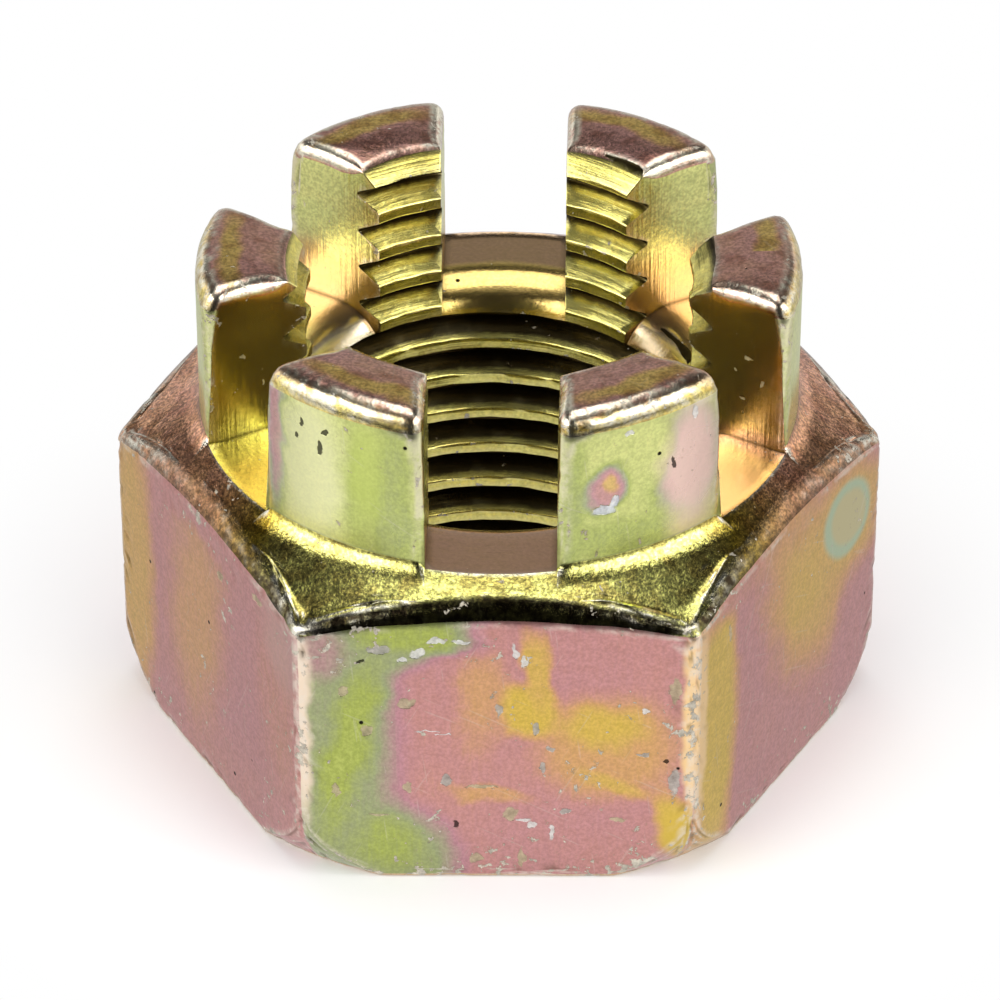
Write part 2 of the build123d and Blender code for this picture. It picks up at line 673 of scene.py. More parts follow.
# %% [markdown]
# ## What the mesh knows about itself
# Wear and a painted highlight follow edges, and dirt with painted shade sits in hollows. Both are read from the
# finished mesh once: the curvature at each vertex, from the angles between its faces, goes into two attributes. A
# bevel node could find the edges while rendering, but it is slow and can't tell an edge from a hollow. A third
# attribute marks the steep shoulder, which gets a painted dark reflection.

# %% Curvature at each vertex
def soft_step(value, low, high):
    share = min(max((value - low) / (high - low), 0), 1)
    return share * share * (3 - 2 * share)


surface = bmesh.new()
surface.from_mesh(threaded)
curvature = [0.0] * len(surface.verts)
areas = [0.0] * len(surface.verts)
for edge in surface.edges:
    bend = edge.calc_face_angle_signed(0.0) * edge.calc_length() / mm / 4
    for vertex in edge.verts:
        curvature[vertex.index] += bend
for face in surface.faces:
    part = face.calc_area() / mm**2 / len(face.verts)
    for vertex in face.verts:
        areas[vertex.index] += part
surface.free()
curvature = [bend / max(area, 1e-4) for bend, area in zip(curvature, areas)]
edge_values = [soft_step(bend, 0.45, 1.1) for bend in curvature]
hollow_values = [soft_step(-bend, 0.5, 1.6) for bend in curvature]
print("vertices on an edge:", sum(v > 0.5 for v in edge_values), "in a hollow:", sum(v > 0.5 for v in hollow_values))

# %% The shoulder's painted dark reflection
def shoulder_reflection_value(vertex):
    """1 on the steep part of the shoulder, where a dark reflection is painted almost black, and less at the sides."""
    tilt = degrees(vertex.normal.angle(Vector((0, 0, 1)), 0.0))
    radius = hypot(vertex.co.x, vertex.co.y) / mm
    outside = radius > 9.0 and vertex.co.z > 7 * mm
    to_front = between(0.6, 1, soft_step(-vertex.co.y / mm / radius, 0.5, 0.85)) if radius else 0
    return outside * soft_step(tilt, 33, 38) * (1 - soft_step(radius, 10.6, 10.9)) * to_front


shoulder_reflection_values = [shoulder_reflection_value(vertex) for vertex in threaded.vertices]
# The shoulder attribute holds the mask of the painted dark reflection.
for name, values in (("edge", edge_values), ("hollow", hollow_values), ("shoulder", shoulder_reflection_values)):
    threaded.attributes.new(name, "FLOAT", "POINT").data.foreach_set("value", values)
print("vertices on the dull shoulder:", sum(v > 0.5 for v in shoulder_reflection_values))

# %% [markdown]
# The last attribute unrolls the surface into millimetres along it, up it and out from the axis, so that brush
# lines and scratches follow the metal round, and a patch can be placed by the side that it lies on. Each of the
# six sides gets a lap of 14 mm of its own, so that no two sides overlap.

# %% The surface unrolled
lap = 14.0


def unrolled(point, finish, home):
    """Millimetres along the surface, up it and out from the axis. home is the angle of the face's own middle."""
    radius = hypot(point.x, point.y) / mm
    height = point.z / mm
    angle = degrees(atan2(point.y, point.x))
    angle += 360 * round((home - angle) / 360)
    if finish == "thread":
        return radians(angle) * bore_radius, height - pitch * angle / 360, radius
    if finish in ("flats", "forged_top", "underside"):
        middle = 30 + 60 * floor(home / 60)
        across = radius * sin(radians(angle - middle))
    elif finish in ("slot_walls", "slot_floors"):
        middle = 30 + slot_clocking + 60 * floor((home - slot_clocking) / 60)
        return lap * floor(home / 60) + radius, height, radius * sin(radians(angle - middle))
    else:
        middle = slot_clocking + 60 * round((home - slot_clocking) / 60)
        across = lap * round(middle / 60) + radius * radians(angle - middle)
        return (across, radius, height) if finish == "crown_top" else (across, height, radius)
    return lap * floor(home / 60) + across, height, radius


corners = [0.0] * (3 * len(threaded.loops))
for polygon in threaded.polygons:
    centre = polygon.center
    home = degrees(atan2(centre.y, centre.x)) % 360
    finish = finishes[polygon.material_index]
    for corner in polygon.loop_indices:
        point = threaded.vertices[threaded.loops[corner].vertex_index].co
        corners[3 * corner : 3 * corner + 3] = unrolled(point, finish, home)
threaded.attributes.new("unrolled", "FLOAT_VECTOR", "CORNER").data.foreach_set("vector", corners)
print("unrolled", len(threaded.loops), "corners")

# %% [markdown]
# ## Building materials with nodes
# Every finish is a tree of nodes. They could be wired by hand in the shader editor, but eight finishes that share
# most of their layers are easier to keep alike in a script. Small helpers keep the trees readable: one places a
# node and fills its inputs, and the others do arithmetic on numbers, vectors and colours.

# %% Helpers that place nodes
def fill(tree, node, inputs):
    """Give a node its inputs: a socket is linked, and anything else is set."""
    for name, value in (inputs or {}).items():
        if isinstance(value, bpy.types.NodeSocket):
            tree.links.new(value, node.inputs[name])
        else:
            node.inputs[name].default_value = value
    return node


def put(tree, kind, inputs=None, **settings):
    """A new node with its settings and inputs."""
    node = tree.nodes.new("ShaderNode" + kind)
    for name, value in settings.items():
        setattr(node, name, value)
    return fill(tree, node, inputs)


def maths(tree, operation, first, second=0.0, third=0.0):
    return put(tree, "Math", {0: first, 1: second, 2: third}, operation=operation).outputs[0]


def vectors(tree, operation, first, second):
    return put(tree, "VectorMath", {0: first, 1: second}, operation=operation).outputs[0]


def scaled(tree, vector, factor):
    return put(tree, "VectorMath", {0: vector, "Scale": factor}, operation="SCALE").outputs[0]


def length_of(tree, vector):
    return put(tree, "VectorMath", {0: vector}, operation="LENGTH").outputs["Value"]


def parts_of(tree, vector):
    return put(tree, "SeparateXYZ", {"Vector": vector}).outputs


# %% Helpers that blend and vary
def ease(tree, value, low, high, out_low=0.0, out_high=1.0):
    """A smooth step from out_low to out_high while the value goes from low to high."""
    ends = {"Value": value, "From Min": low, "From Max": high, "To Min": out_low, "To Max": out_high}
    return put(tree, "MapRange", ends, interpolation_type="SMOOTHSTEP").outputs[0]


def mix(tree, factor, first, second):
    return put(tree, "Mix", {0: factor, 2: first, 3: second}, data_type="FLOAT").outputs[0]


def mix_colour(tree, factor, first, second, blend="MIX"):
    return put(tree, "Mix", {0: factor, 6: first, 7: second}, data_type="RGBA", blend_type=blend).outputs[2]


def noise_of(tree, vector, scale, detail=2.0, roughness=0.5, warp=0.0):
    sockets = {"Vector": vector, "Scale": scale, "Detail": detail, "Roughness": roughness, "Distortion": warp}
    return put(tree, "TexNoise", sockets, noise_dimensions="3D").outputs["Fac"]


def ragged(tree, place, scale, amount):
    """A vector that wanders by noise, to draw outlines that no compass made."""
    found = put(tree, "TexNoise", {"Vector": place, "Scale": scale, "Detail": 3.0}, noise_dimensions="3D")
    return scaled(tree, vectors(tree, "SUBTRACT", found.outputs["Color"], (0.5, 0.5, 0.5)), amount)


# %% Helpers for node groups
def new_group(name, inputs, outputs):
    """An empty group, and its input and output sockets by name."""
    tree = bpy.data.node_groups.new(name, "ShaderNodeTree")
    for label, kind, value in inputs:
        socket = tree.interface.new_socket(label, in_out="INPUT", socket_type="NodeSocket" + kind)
        if value is not None:
            socket.default_value = value
    for label, kind in outputs:
        tree.interface.new_socket(label, in_out="OUTPUT", socket_type="NodeSocket" + kind)
    start = tree.nodes.new("NodeGroupInput")
    end = tree.nodes.new("NodeGroupOutput")
    return tree, start.outputs, end.inputs


def use(tree, group, inputs=None):
    """The outputs of a group placed in a tree."""
    node = tree.nodes.new("ShaderNodeGroup")
    node.node_tree = bpy.data.node_groups[group]
    return fill(tree, node, inputs).outputs


# %% [markdown]
# ## The colours of the film
# A chromate film shows interference colours. As it gets thicker the metal turns from yellow over orange and rose
# to green and lime, and then yellow again. So one number, the film's thickness, drives one ramp of colours, and
# every patch on the nut is a change of thickness. That keeps neighbouring colours in their true order. Only the
# part after the point counts, so 1.24 is 0.24 in colour, but it is reached through yellow and not through green.

# %% Film group
film_colours = [
    (0.00, (0.74, 0.53, 0.065)),
    (0.10, (0.72, 0.47, 0.11)),
    (0.20, (0.71, 0.39, 0.16)),
    (0.32, (0.62, 0.29, 0.26)),
    (0.42, (0.56, 0.27, 0.31)),
    (0.50, (0.45, 0.34, 0.27)),
    (0.58, (0.37, 0.41, 0.21)),
    (0.68, (0.42, 0.49, 0.10)),
    (0.80, (0.66, 0.70, 0.21)),
    (0.90, (0.75, 0.68, 0.20)),
    (1.00, (0.74, 0.53, 0.065)),
]
tree, given, gives = new_group("film", [("Thickness", "Float", 0.3)], [("Colour", "Color")])
ramp_node = put(tree, "ValToRGB", {"Fac": maths(tree, "FRACT", given["Thickness"])})
stops = ramp_node.color_ramp.elements
stops[0].position, stops[1].position = film_colours[0][0], film_colours[-1][0]
for position, _ in film_colours[1:-1]:
    stops.new(position)
for stop, (_, colour) in zip(stops, film_colours):
    stop.color = (*colour, 1)
tree.links.new(ramp_node.outputs["Color"], gives["Colour"])
print(len(stops), "film colours")

# %% [markdown]
# ## Marks of handling
# Nuts are tumbled in bulk, so they knock chips off each other's edges and scratch each other's flats. Chips could
# be modelled, but they are only a few hundredths of a millimetre deep, so they are a thresholded noise that comes
# in clusters and grows along edges. The mask gives them bare metal and depth, and the halo a brown rim.

# %% Chips group
chip_inputs = [("Vector", "Vector", None), ("Amount", "Float", 0.5), ("Edge", "Float", 0.0)]
tree, given, gives = new_group("chips", chip_inputs, [("Mask", "Float"), ("Halo", "Float")])
shapes = noise_of(tree, given["Vector"], 3.4, 4.0, 0.60, 0.4)
clusters = noise_of(tree, given["Vector"], 0.55, 1.0)
raised = maths(tree, "MULTIPLY_ADD", clusters, 0.30, shapes)
raised = maths(tree, "MULTIPLY_ADD", given["Edge"], 0.10, raised)
raised = maths(tree, "MULTIPLY_ADD", given["Amount"], 0.16, raised)
tree.links.new(ease(tree, raised, 0.915, 0.94), gives["Mask"])
tree.links.new(ease(tree, raised, 0.88, 0.92), gives["Halo"])

# %% [markdown]
# Scratches are noise drawn out to thin streaks in three directions, and a much finer brushing runs along the
# surface. Pits are the small cells of a Voronoi pattern, of which only a few are let through.

# %% Scratches group
scratch_inputs = [("Vector", "Vector", None), ("Amount", "Float", 0.5)]
tree, given, gives = new_group("scratches", scratch_inputs, [("Mask", "Float"), ("Fine", "Float")])
streaks = 0.0
for turn, drawn_out in ((28, 0.30), (-62, 0.22), (83, 0.35)):
    turned = put(tree, "VectorRotate", {"Vector": given["Vector"], "Angle": radians(turn)}, rotation_type="Z_AXIS")
    drawn = vectors(tree, "MULTIPLY", turned.outputs[0], (drawn_out, 6.0, 1.0))
    streak = ease(tree, noise_of(tree, drawn, 1.5, 1.0, 0.4), 0.73, 0.76)
    streaks = maths(tree, "MAXIMUM", streaks, streak)
tree.links.new(maths(tree, "MULTIPLY", streaks, given["Amount"]), gives["Mask"])
brushed = vectors(tree, "MULTIPLY", given["Vector"], (14.0, 0.5, 1.0))
tree.links.new(noise_of(tree, brushed, 1.0, 3.0, 0.6), gives["Fine"])

# %% Pits group
pit_inputs = [("Vector", "Vector", None), ("Amount", "Float", 0.5)]
tree, given, gives = new_group("pits", pit_inputs, [("Mask", "Float")])
cells = put(tree, "TexVoronoi", {"Vector": given["Vector"], "Scale": 1.6, "Randomness": 1.0}, feature="F1")
small = ease(tree, cells.outputs["Distance"], 0.13, 0.07)
chance = put(tree, "SeparateColor", {"Color": cells.outputs["Color"]}).outputs[0]
wanted = maths(tree, "LESS_THAN", chance, maths(tree, "MULTIPLY", given["Amount"], 0.2))
tree.links.new(maths(tree, "MULTIPLY", small, wanted), gives["Mask"])
print("groups so far:", sorted(g.name for g in bpy.data.node_groups))

# %% [markdown]
# ## Forged and tooled skins
# The forged skin is a pebbled grain of a few hundredths of a millimetre, which breaks reflections into glints. The
# milled and turned ones carry parallel lines. Both only put out a height, which goes to a bump.

# %% Grain and lines groups
grain_inputs = [("Vector", "Vector", None), ("Size", "Float", 1.0)]
tree, given, gives = new_group("forged_grain", grain_inputs, [("Height", "Float"), ("Patches", "Float")])
sized = scaled(tree, given["Vector"], given["Size"])
pebbles = noise_of(tree, sized, 5.0, 5.0, 0.68)
broad = noise_of(tree, sized, 1.3, 2.0, 0.5)
tree.links.new(maths(tree, "MULTIPLY_ADD", broad, 0.8, pebbles), gives["Height"])
tree.links.new(noise_of(tree, sized, 0.9, 2.0, 0.55), gives["Patches"])

line_inputs = [("Vector", "Vector", None), ("Size", "Vector", (12.0, 0.4, 12.0))]
tree, given, gives = new_group("tool_lines", line_inputs, [("Height", "Float")])
drawn = vectors(tree, "MULTIPLY", given["Vector"], given["Size"])
tree.links.new(noise_of(tree, drawn, 1.0, 3.0, 0.6), gives["Height"])

# %% [markdown]
# ## Patches and flakes
# Drifting noise alone never puts the green where it belongs, so the main patches are placed one by one in the
# unrolled millimetres. A patch is an oval or a box with a soft outline that wanders with the wobble. A flake is a
# plain small oval for a single chip, and flakes of one colour are chained: each takes the mask before it.

# %% Patch and flake groups
patch_inputs = [
    ("Vector", "Vector", None),
    ("Wobble", "Vector", (0, 0, 0)),
    ("Centre", "Vector", (0, 0, 0)),
    ("Half Size", "Vector", (1, 1, 1)),
    ("Turn", "Float", 0.0),
    ("Softness", "Float", 0.3),
    ("Square", "Float", 0.0),
]
tree, given, gives = new_group("patch", patch_inputs, [("Mask", "Float")])
local = vectors(tree, "SUBTRACT", given["Vector"], given["Centre"])
local = vectors(tree, "ADD", local, scaled(tree, given["Wobble"], given["Softness"]))
local = put(tree, "VectorRotate", {"Vector": local, "Angle": given["Turn"]}, rotation_type="Z_AXIS").outputs[0]
parts = parts_of(tree, vectors(tree, "DIVIDE", local, given["Half Size"]))
wide, tall = maths(tree, "ABSOLUTE", parts[0]), maths(tree, "ABSOLUTE", parts[1])
oval = maths(tree, "SQRT", maths(tree, "MULTIPLY_ADD", wide, wide, maths(tree, "MULTIPLY", tall, tall)))
reach = mix(tree, given["Square"], oval, maths(tree, "MAXIMUM", wide, tall))
outline_starts = maths(tree, "SUBTRACT", 1.0, given["Softness"])
outline_ends = maths(tree, "ADD", 1.0, given["Softness"])
tree.links.new(ease(tree, reach, outline_ends, outline_starts), gives["Mask"])

flake_inputs = [
    ("Vector", "Vector", None),
    ("Centre", "Vector", (0, 0, 0)),
    ("Half Size", "Vector", (1, 1, 1)),
    ("Before", "Float", 0),
]
tree, given, gives = new_group("flake", flake_inputs, [("Mask", "Float")])
local = vectors(tree, "SUBTRACT", given["Vector"], given["Centre"])
reach = length_of(tree, vectors(tree, "DIVIDE", local, given["Half Size"]))
tree.links.new(maths(tree, "MAXIMUM", ease(tree, reach, 1.2, 0.9), given["Before"]), gives["Mask"])
print("all groups:", sorted(g.name for g in bpy.data.node_groups))

# %% [markdown]
# ## The layers of a finish
# All finishes share one recipe, so that neighbouring surfaces age alike. Its layers lie on each other as on the
# real nut: the film, a veil of dirt, the skin's grain or lines, and then what handling did. First come the
# sockets that several layers read.

# %% What the layers read
anywhere = 1000


def surface_facts(tree, cloud_size, scratch):
    """Places on the nut, the mesh's attributes, and the noises that the layers share."""
    place = scaled(tree, put(tree, "TexCoord").outputs["Object"], 1 / mm)
    along = put(tree, "Attribute", attribute_name="unrolled").outputs["Vector"]
    clouds = noise_of(tree, place, cloud_size, 3.0, 0.55, 0.4)
    specks = noise_of(tree, place, 4.0, 4.0, 0.65)
    return SimpleNamespace(
        place=place,
        along=along,
        edge=put(tree, "Attribute", attribute_name="edge").outputs["Fac"],
        hollow=put(tree, "Attribute", attribute_name="hollow").outputs["Fac"],
        wobble=ragged(tree, place, 0.9, 1.6),
        clouds=maths(tree, "SUBTRACT", clouds, 0.5),
        specks=maths(tree, "SUBTRACT", specks, 0.5),
        scratches=use(tree, "scratches", {"Vector": along, "Amount": scratch}),
    )


def patch_mask(tree, here, centre, half, turn, softness, square):
    """1 inside a patch at the centre, so many millimetres and degrees across, up and round."""
    values = {"Vector": here.along, "Wobble": here.wobble, "Centre": (*centre, 0), "Half Size": (*half, anywhere)}
    values.update({"Turn": radians(turn), "Softness": softness, "Square": square})
    return use(tree, "patch", values)["Mask"]


# %% [markdown]
# The film's thickness starts from the finish's own value. Clouds let it drift, more so at the back, patches pull
# it to their values, and fine streaks and specks keep it from being smooth. On the cone it also changes with the
# distance from the front.

# %% The film layer
def film_thickness(tree, here, thickness, cloud, back_drift, fading, patches, fine_film):
    towards_back = parts_of(tree, here.place)["Y"]
    swing = ease(tree, towards_back, 1.0, 6.0, cloud * 2, cloud * back_drift)
    film = maths(tree, "ADD", maths(tree, "MULTIPLY", here.clouds, swing), thickness)
    if fading:
        near, far, far_film = fading
        from_front = vectors(tree, "MULTIPLY", vectors(tree, "ADD", here.place, (0, 9, 0)), (1, 1, 0))
        beyond = maths(tree, "MULTIPLY_ADD", here.clouds, cloud * 2, far_film)
        film = mix(tree, ease(tree, length_of(tree, from_front), near, far), film, beyond)
    for *shape, value in patches:
        target = maths(tree, "MULTIPLY_ADD", here.clouds, cloud * 0.6, value)
        film = mix(tree, patch_mask(tree, here, *shape), film, target)
    streaks = maths(tree, "SUBTRACT", here.scratches["Fine"], 0.5)
    film = maths(tree, "MULTIPLY_ADD", streaks, fine_film, film)
    return maths(tree, "MULTIPLY_ADD", here.specks, 0.07, film)


def film_colour(tree, here, film, veil, veil_amount, mottle, grit, tints):
    """The film's colour under a thin veil, made uneven by specks and grit, and tinted in places."""
    colour = use(tree, "film", {"Thickness": film})["Colour"]
    colour = mix_colour(tree, veil_amount, colour, (*veil, 1))
    shade = maths(tree, "MULTIPLY_ADD", here.specks, mottle, 1.0)
    grains = ease(tree, noise_of(tree, here.place, 10.0, 2.0, 0.6), 0.36, 0.64, 1 - grit, 1 + grit)
    colour = scaled(tree, colour, maths(tree, "MULTIPLY", shade, grains))
    for *shape, tint, strength in tints:
        mask = maths(tree, "MULTIPLY", patch_mask(tree, here, *shape), strength)
        colour = mix_colour(tree, mask, colour, (*tint, 1))
    return colour


# %% [markdown]
# The thread's roots get painted shade, a near-black colour where shade falls between the teeth, and deep in the bore
# little light comes back from the flanks either. So the painted shade starts at a distance from the axis, and
# creeps in towards the crests lower down.

# %% Painted shade in the thread roots, skin
root_shade_colour = (0.055, 0.04, 0.015)
rust_brown = (0.42, 0.27, 0.17)


def painted_root_shade(tree, here, colour, root_shade_radii):
    from_axis = parts_of(tree, here.along)["Z"]
    # Painted shade: lower in the bore the dark reaches further in towards the crests.
    deep_shade = ease(tree, parts_of(tree, here.place)["Z"], 9.9, 8.6, 0.0, 0.37)
    depth = maths(tree, "MULTIPLY_ADD", here.specks, 0.2, maths(tree, "ADD", from_axis, deep_shade))
    return mix_colour(tree, ease(tree, depth, *root_shade_radii), colour, (*root_shade_colour, 1))


def skin(tree, here, colour, grain, grain_size, lines, line_size):
    """The height of the forged grain, which also browns the colour in patches, or else of the tool's lines."""
    if not grain:
        line = use(tree, "tool_lines", {"Vector": here.along, "Size": line_size})["Height"]
        return maths(tree, "MULTIPLY", line, lines), colour
    pebble = use(tree, "forged_grain", {"Vector": here.place, "Size": grain_size})
    rusty = maths(tree, "MULTIPLY", ease(tree, pebble["Patches"], 0.45, 0.65), 0.5)
    colour = mix_colour(tree, rusty, colour, (*rust_brown, 1), "MULTIPLY")
    return maths(tree, "MULTIPLY", pebble["Height"], grain), colour


# %% [markdown]
# Handling rubs the edges bright, which also paints a highlight on them, and knocks chips down to bare steel. The
# steep shoulder gets a painted dark reflection, and the hollows get dirt with painted shade. The chips that stand
# out in the picture are placed one by one.

# %% The layers of handling and painted light
halo_brown = (0.34, 0.25, 0.15)
scratched = (0.78, 0.72, 0.62)
# The next colour is the shoulder's painted dark reflection.
painted_reflection_brown = (0.045, 0.032, 0.018)
bare_steel = (0.66, 0.60, 0.50)
# The next colour is for dirt and painted shade in hollows.
dirt_and_shade_colour = (0.10, 0.075, 0.03)
pit_black = (0.02, 0.018, 0.012)


def handled(tree, here, colour, chips, pits, wear_and_highlight, worn_and_highlight_colour, shoulder, dirt_and_shade):
    """The colour with its halos, scratches, rubbed edges with a painted highlight, the shoulder's painted dark
    reflection, chips, dirt with painted shade, and pits.
    """
    colour = mix_colour(tree, maths(tree, "MULTIPLY", chips["Halo"], 0.4), colour, (*halo_brown, 1))
    colour = mix_colour(tree, here.scratches["Mask"], colour, (*scratched, 1))
    # Wear and painted highlight: convex edges are coloured pale.
    rubbed_and_lit = ease(tree, maths(tree, "ADD", here.specks, here.clouds), -0.12, 0.12, 0.3, 1.0)
    rubbed_and_lit = maths(tree, "MULTIPLY", maths(tree, "MULTIPLY", here.edge, wear_and_highlight), rubbed_and_lit)
    colour = mix_colour(tree, rubbed_and_lit, colour, (*worn_and_highlight_colour, 1))
    # Painted dark reflection: the steep shoulder is coloured almost black, most where it faces the front.
    if shoulder:
        dark_reflection = put(tree, "Attribute", attribute_name="shoulder").outputs["Fac"]
        dark_reflection = maths(tree, "MULTIPLY", dark_reflection, maths(tree, "MULTIPLY_ADD", here.specks, -1.2, shoulder))
        colour = mix_colour(tree, dark_reflection, colour, (*painted_reflection_brown, 1))
    bare = scaled(tree, bare_steel, maths(tree, "MULTIPLY_ADD", here.specks, 2.0, 1.0))
    colour = mix_colour(tree, chips["Mask"], colour, bare)
    # Dirt and painted shade: hollows are coloured dark.
    colour = mix_colour(tree, maths(tree, "MULTIPLY", here.hollow, dirt_and_shade), colour, (*dirt_and_shade_colour, 1))
    return mix_colour(tree, pits, colour, (*pit_black, 1))


def marked(tree, here, colour, worn, marks):
    """The colour and the worn mask with single flakes, each given as across, up, half width and half height."""
    torn = vectors(tree, "ADD", here.along, ragged(tree, here.place, 3.2, 0.4)) if marks else None
    for tint, places in marks:
        mask = 0.0
        for across, up, wide, tall in places:
            sizes = {"Centre": (across, up, 0), "Half Size": (wide, tall, anywhere), "Before": mask}
            mask = use(tree, "flake", {"Vector": torn, **sizes})["Mask"]
        varied = scaled(tree, tint, maths(tree, "MULTIPLY_ADD", here.specks, 1.8, 1.0))
        colour = mix_colour(tree, maths(tree, "MULTIPLY", mask, 0.85), colour, varied)
        worn = maths(tree, "MAXIMUM", worn, mask)
    return colour, worn


# %% [markdown]
# The recipe puts the layers together. The Principled shader stands in each material itself, and only colours,
# masks and heights come out of the groups. Where the metal is worn it is duller, and lies a little lower.

# %% One recipe for all finishes
worn_roughness = 0.5
scratch_depth, worn_depth, speck_height = -0.005, -0.014, 0.006


def finish_material(
    name,
    thickness,
    cloud=0.1,
    cloud_size=0.25,
    back_drift=2.0,
    fading=None,
    patches=(),
    fine_film=0.06,
    veil=(0.45, 0.38, 0.28),
    veil_amount=0.0,
    mottle=0.4,
    grit=0.08,
    tints=(),
    root_shade_radii=None,
    roughness=0.25,
    gloss_change=0.1,
    grain=0.0,
    grain_size=1.0,
    lines=0.0,
    line_size=(12.0, 0.4, 12.0),
    scratch=0.5,
    chip=0.3,
    chip_zones=(),
    pit=0.4,
    wear_and_highlight=0.45,
    worn_and_highlight_colour=(0.90, 0.80, 0.68),
    shoulder=0.0,
    dirt_and_shade=0.5,
    marks=(),
):
    material = bpy.data.materials[name]
    material.use_nodes = True
    tree = material.node_tree
    here = surface_facts(tree, cloud_size, scratch)
    film = film_thickness(tree, here, thickness, cloud, back_drift, fading, patches, fine_film)
    colour = film_colour(tree, here, film, veil, veil_amount, mottle, grit, tints)
    if root_shade_radii:
        colour = painted_root_shade(tree, here, colour, root_shade_radii)
    height, colour = skin(tree, here, colour, grain, grain_size, lines, line_size)

    for *shape, more in chip_zones:
        chip = maths(tree, "MULTIPLY_ADD", patch_mask(tree, here, *shape), more, chip)
    chips = use(tree, "chips", {"Vector": here.place, "Amount": chip, "Edge": here.edge})
    pits = use(tree, "pits", {"Vector": here.place, "Amount": pit})["Mask"]
    colour = handled(tree, here, colour, chips, pits, wear_and_highlight, worn_and_highlight_colour, shoulder, dirt_and_shade)
    worn = maths(tree, "MAXIMUM", chips["Mask"], pits)
    colour, worn = marked(tree, here, colour, worn, marks)

    rough = maths(tree, "MULTIPLY_ADD", here.clouds, gloss_change, roughness)
    rough = mix(tree, worn, rough, worn_roughness)
    lowered = maths(tree, "MULTIPLY", worn, worn_depth)
    lowered = maths(tree, "MULTIPLY_ADD", here.scratches["Mask"], scratch_depth, lowered)
    lowered = maths(tree, "MULTIPLY_ADD", here.specks, speck_height, lowered)
    bump = put(tree, "Bump", {"Height": maths(tree, "ADD", height, lowered), "Distance": mm, "Strength": 1.0})
    surfaces = {"Base Color": colour, "Roughness": rough, "Normal": bump.outputs["Normal"], "Metallic": 1.0}
    fill(tree, tree.nodes["Principled BSDF"], surfaces)
    print(name + ":", len(tree.nodes), "nodes")


# %% [markdown]
# ## The flats
# The flats are dull, with faint lines, and they show the film best. Each patch is its centre, half its size, its
# turn, how soft and how square it is, and its film. The front flat is green to the left of a wandering edge, with
# yellow and orange in the rose field. The right one has an olive strip, a yellow middle and a ring of teal, and
# the left one is rose under its top edge and olive on its far side.

# %% Patches of film on the flats
left_hand, front, right_hand = 3 * lap, 4 * lap, 5 * lap
flat_patches = [
    ((front - 5.3, 4.5), (2.5, 7.0), 0, 0.3, 0, 0.58),
    ((front - 3.0, 8.7), (3.3, 1.5), -30, 0.3, 0, 0.59),
    ((front - 3.1, 0.6), (2.0, 2.0), 0, 0.35, 0, 0.60),
    ((front - 4.1, 4.6), (0.6, 2.6), 12, 0.6, 0, 0.69),
    ((front - 2.2, 8.4), (1.7, 0.5), 6, 0.5, 0, 0.68),
    ((front - 2.9, 1.2), (0.9, 0.9), 0, 0.6, 0, 0.67),
    ((front - 4.9, 8.0), (0.7, 0.9), 0, 0.6, 0, 0.47),
    ((front - 0.4, 6.4), (0.7, 1.6), 0, 0.7, 0, 0.22),
    ((front + 3.0, 4.6), (1.9, 1.8), 0, 0.35, 0, 0.20),
    ((front - 0.2, 3.0), (1.0, 0.3), 14, 0.6, 0, 0.22),
    ((front + 0.9, 5.9), (0.75, 0.9), 0, 0.35, 0.5, 0.04),
    ((front + 1.1, 7.3), (0.33, 1.3), -6, 0.5, 0.5, 0.10),
    ((front + 2.9, 5.3), (1.05, 0.65), 0, 0.6, 0, 0.06),
    ((front + 3.2, 3.3), (0.9, 0.3), 25, 0.6, 0, 0.10),
    ((front + 5.0, 1.7), (0.5, 1.4), -20, 0.5, 0, 0.06),
    ((right_hand - 4.3, 4.8), (1.1, 5.0), 0, 0.4, 0, 0.05),
    ((right_hand - 2.0, 8.9), (3.4, 0.8), -8, 0.5, 0, 0.30),
    ((right_hand + 1.0, 6.0), (1.8, 3.0), -30, 0.8, 0, 0.10),
    ((right_hand + 4.5, 2.4), (1.6, 3.4), 10, 0.4, 0, 0.36),
    ((right_hand + 3.5, 6.8), (2.2, 1.7), 30, 0.5, 0, 0.12),
    ((left_hand - 4.6, 5.0), (1.2, 5.0), 0, 0.5, 0, 0.14),
    ((left_hand - 0.6, 5.4), (1.5, 3.6), 8, 0.7, 0, 0.22),
    ((left_hand + 1.2, 8.9), (4.2, 0.7), 0, 0.6, 0, 0.34),
    ((left_hand + 4.2, 5.6), (1.2, 3.0), 0, 0.5, 0, 0.30),
]
flat_tints_and_highlights = [
    ((right_hand + 3.4, 6.9), (1.5, 1.2), 30, 0.12, 0, (0.44, 0.62, 0.46), 0.8),
    ((right_hand + 3.5, 6.9), (1.15, 0.85), 30, 0.15, 0, (0.62, 0.55, 0.30), 1.0),
    ((left_hand + 4.9, 7.5), (1.3, 1.3), 0, 0.5, 0, (0.62, 0.44, 0.40), 0.4),
    # Painted highlights: the bright strips at right_hand - 5.2, front + 5.45 and front - 5.4 lie on the rounded
    # upright corners.
    ((right_hand - 5.2, 5.5), (0.35, 3.4), 0, 0.4, 0, (0.98, 0.68, 0.36), 0.9),
    ((front + 5.45, 5.5), (0.35, 3.2), 0, 0.3, 0, (1.0, 0.68, 0.34), 1.0),
    ((front + 5.3, 1.4), (0.7, 1.3), -25, 0.5, 0, (0.74, 0.52, 0.09), 0.8),
    ((front - 5.4, 5.5), (0.3, 3.2), 0, 0.4, 0, (1.0, 0.80, 0.62), 0.95),
]
print(len(flat_patches), "patches and", len(flat_tints_and_highlights), "tints on the flats")

# %% [markdown]
# Chips gather in zones: under the top edges, at the upright corners and all round the foot. The single ones are
# bare zinc, scraped grey steel, beige where the film is only thin, and a few black pits.

